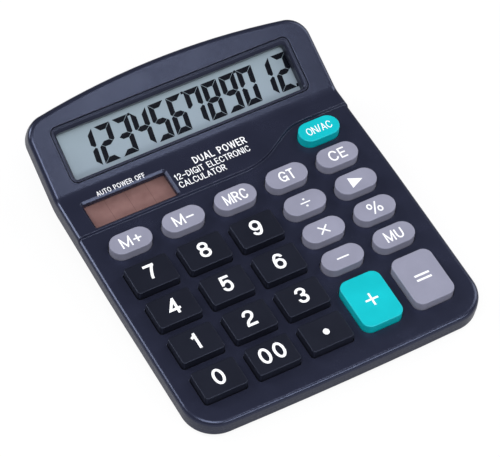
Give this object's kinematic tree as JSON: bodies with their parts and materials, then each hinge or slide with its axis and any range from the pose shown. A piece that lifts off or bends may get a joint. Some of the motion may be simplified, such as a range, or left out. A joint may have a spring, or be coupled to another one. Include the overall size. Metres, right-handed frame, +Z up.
{
  "type": "desk calculator",
  "caption": "Desk calculator with a wedge case, tilted display head, solar cell window, spring-back keys in a grid and a battery door underneath.",
  "frame": {"origin": "middle of the footprint on the table", "axes": "+X to the right across the keys, +Y from the front edge to the display head, +Z up"},
  "size_m": [0.1212, 0.1456, 0.0433],
  "materials": {
    "case": "fine spark-eroded satin texture, dark navy",
    "bezel": "smooth semi-gloss frame",
    "digit_keys": "fine matte",
    "grey_keys": "satin",
    "cyan_keys": "satin",
    "lens": "clear polished acrylic",
    "lcd": "grey-green reflective liquid crystal panel",
    "strip": "elastomer connector",
    "board": "brown paper laminate with copper tracks",
    "ribbon": "thin film cable",
    "solar_window": "clear acrylic",
    "solar_cell": "brown amorphous cell with fine lines",
    "leads": "insulated lead",
    "membrane": "grey silicone",
    "screws": "zinc plated",
    "resin": "black resin",
    "components": "sleeved",
    "battery": "plain wrapped jacket",
    "contacts": "nickel plated",
    "feet": "moulded rubber"
  },
  "bodies": {
    "root": {"battery": "battery", "battery_leads": "leads", "board_components": "components", "board_screws": "screws", "bottom_case": "case", "case_screws": "screws", "chip": "resin", "contact_strip": "strip", "display_bezel": "bezel", "display_board": "board", "display_lens": "lens", "display_ribbon": "ribbon", "key_membrane": "membrane", "lcd_panel": "lcd", "main_board": "board", "plate_contact": "contacts", "rubber_feet": "feet", "solar_cell": "solar_cell", "solar_leads": "leads", "solar_window": "solar_window", "spring_contact": "contacts", "top_case": "case"},
    "battery_door": {"battery_door": "case"},
    "key_0": {"key_0": "digit_keys"},
    "key_00": {"key_00": "digit_keys"},
    "key_1": {"key_1": "digit_keys"},
    "key_2": {"key_2": "digit_keys"},
    "key_3": {"key_3": "digit_keys"},
    "key_4": {"key_4": "digit_keys"},
    "key_5": {"key_5": "digit_keys"},
    "key_6": {"key_6": "digit_keys"},
    "key_7": {"key_7": "digit_keys"},
    "key_8": {"key_8": "digit_keys"},
    "key_9": {"key_9": "digit_keys"},
    "key_arrow": {"key_arrow": "grey_keys"},
    "key_ce": {"key_ce": "grey_keys"},
    "key_divide": {"key_divide": "grey_keys"},
    "key_equals": {"key_equals": "grey_keys"},
    "key_gt": {"key_gt": "grey_keys"},
    "key_m_minus": {"key_m_minus": "grey_keys"},
    "key_m_plus": {"key_m_plus": "grey_keys"},
    "key_minus": {"key_minus": "grey_keys"},
    "key_mrc": {"key_mrc": "grey_keys"},
    "key_mu": {"key_mu": "grey_keys"},
    "key_multiply": {"key_multiply": "grey_keys"},
    "key_on_ac": {"key_on_ac": "cyan_keys"},
    "key_percent": {"key_percent": "grey_keys"},
    "key_plus": {"key_plus": "cyan_keys"},
    "key_point": {"key_point": "digit_keys"}
  },
  "joints": [
    {"name": "battery_door_hinge", "type": "hinge", "parent": "root", "child": "battery_door", "pos_m": [0, 0.04747, 0.0012], "axis": [-1, 0, 0], "range_deg": [0, 70]},
    {"name": "key_0_press", "type": "slide", "parent": "root", "child": "key_0", "axis": [0, 0.1305, -0.9914], "range_m": [0, 0.0012], "stiffness_N_per_m": 450, "springref_m": -0.0006},
    {"name": "key_00_press", "type": "slide", "parent": "root", "child": "key_00", "axis": [0, 0.1305, -0.9914], "range_m": [0, 0.0012], "stiffness_N_per_m": 450, "springref_m": -0.0006},
    {"name": "key_1_press", "type": "slide", "parent": "root", "child": "key_1", "axis": [0, 0.1305, -0.9914], "range_m": [0, 0.0012], "stiffness_N_per_m": 450, "springref_m": -0.0006},
    {"name": "key_2_press", "type": "slide", "parent": "root", "child": "key_2", "axis": [0, 0.1305, -0.9914], "range_m": [0, 0.0012], "stiffness_N_per_m": 450, "springref_m": -0.0006},
    {"name": "key_3_press", "type": "slide", "parent": "root", "child": "key_3", "axis": [0, 0.1305, -0.9914], "range_m": [0, 0.0012], "stiffness_N_per_m": 450, "springref_m": -0.0006},
    {"name": "key_4_press", "type": "slide", "parent": "root", "child": "key_4", "axis": [0, 0.1305, -0.9914], "range_m": [0, 0.0012], "stiffness_N_per_m": 450, "springref_m": -0.0006},
    {"name": "key_5_press", "type": "slide", "parent": "root", "child": "key_5", "axis": [0, 0.1305, -0.9914], "range_m": [0, 0.0012], "stiffness_N_per_m": 450, "springref_m": -0.0006},
    {"name": "key_6_press", "type": "slide", "parent": "root", "child": "key_6", "axis": [0, 0.1305, -0.9914], "range_m": [0, 0.0012], "stiffness_N_per_m": 450, "springref_m": -0.0006},
    {"name": "key_7_press", "type": "slide", "parent": "root", "child": "key_7", "axis": [0, 0.1305, -0.9914], "range_m": [0, 0.0012], "stiffness_N_per_m": 450, "springref_m": -0.0006},
    {"name": "key_8_press", "type": "slide", "parent": "root", "child": "key_8", "axis": [0, 0.1305, -0.9914], "range_m": [0, 0.0012], "stiffness_N_per_m": 450, "springref_m": -0.0006},
    {"name": "key_9_press", "type": "slide", "parent": "root", "child": "key_9", "axis": [0, 0.1305, -0.9914], "range_m": [0, 0.0012], "stiffness_N_per_m": 450, "springref_m": -0.0006},
    {"name": "key_arrow_press", "type": "slide", "parent": "root", "child": "key_arrow", "axis": [0, 0.1305, -0.9914], "range_m": [0, 0.0012], "stiffness_N_per_m": 450, "springref_m": -0.0006},
    {"name": "key_ce_press", "type": "slide", "parent": "root", "child": "key_ce", "axis": [0, 0.1305, -0.9914], "range_m": [0, 0.0012], "stiffness_N_per_m": 450, "springref_m": -0.0006},
    {"name": "key_divide_press", "type": "slide", "parent": "root", "child": "key_divide", "axis": [0, 0.1305, -0.9914], "range_m": [0, 0.0012], "stiffness_N_per_m": 450, "springref_m": -0.0006},
    {"name": "key_equals_press", "type": "slide", "parent": "root", "child": "key_equals", "axis": [0, 0.1305, -0.9914], "range_m": [0, 0.0012], "stiffness_N_per_m": 600, "springref_m": -0.0006},
    {"name": "key_gt_press", "type": "slide", "parent": "root", "child": "key_gt", "axis": [0, 0.1305, -0.9914], "range_m": [0, 0.0012], "stiffness_N_per_m": 450, "springref_m": -0.0006},
    {"name": "key_m_minus_press", "type": "slide", "parent": "root", "child": "key_m_minus", "axis": [0, 0.1305, -0.9914], "range_m": [0, 0.0012], "stiffness_N_per_m": 450, "springref_m": -0.0006},
    {"name": "key_m_plus_press", "type": "slide", "parent": "root", "child": "key_m_plus", "axis": [0, 0.1305, -0.9914], "range_m": [0, 0.0012], "stiffness_N_per_m": 450, "springref_m": -0.0006},
    {"name": "key_minus_press", "type": "slide", "parent": "root", "child": "key_minus", "axis": [0, 0.1305, -0.9914], "range_m": [0, 0.0012], "stiffness_N_per_m": 450, "springref_m": -0.0006},
    {"name": "key_mrc_press", "type": "slide", "parent": "root", "child": "key_mrc", "axis": [0, 0.1305, -0.9914], "range_m": [0, 0.0012], "stiffness_N_per_m": 450, "springref_m": -0.0006},
    {"name": "key_mu_press", "type": "slide", "parent": "root", "child": "key_mu", "axis": [0, 0.1305, -0.9914], "range_m": [0, 0.0012], "stiffness_N_per_m": 450, "springref_m": -0.0006},
    {"name": "key_multiply_press", "type": "slide", "parent": "root", "child": "key_multiply", "axis": [0, 0.1305, -0.9914], "range_m": [0, 0.0012], "stiffness_N_per_m": 450, "springref_m": -0.0006},
    {"name": "key_on_ac_press", "type": "slide", "parent": "root", "child": "key_on_ac", "axis": [0, 0.1305, -0.9914], "range_m": [0, 0.0012], "stiffness_N_per_m": 450, "springref_m": -0.0006},
    {"name": "key_percent_press", "type": "slide", "parent": "root", "child": "key_percent", "axis": [0, 0.1305, -0.9914], "range_m": [0, 0.0012], "stiffness_N_per_m": 450, "springref_m": -0.0006},
    {"name": "key_plus_press", "type": "slide", "parent": "root", "child": "key_plus", "axis": [0, 0.1305, -0.9914], "range_m": [0, 0.0012], "stiffness_N_per_m": 600, "springref_m": -0.0006},
    {"name": "key_point_press", "type": "slide", "parent": "root", "child": "key_point", "axis": [0, 0.1305, -0.9914], "range_m": [0, 0.0012], "stiffness_N_per_m": 450, "springref_m": -0.0006}
  ]
}
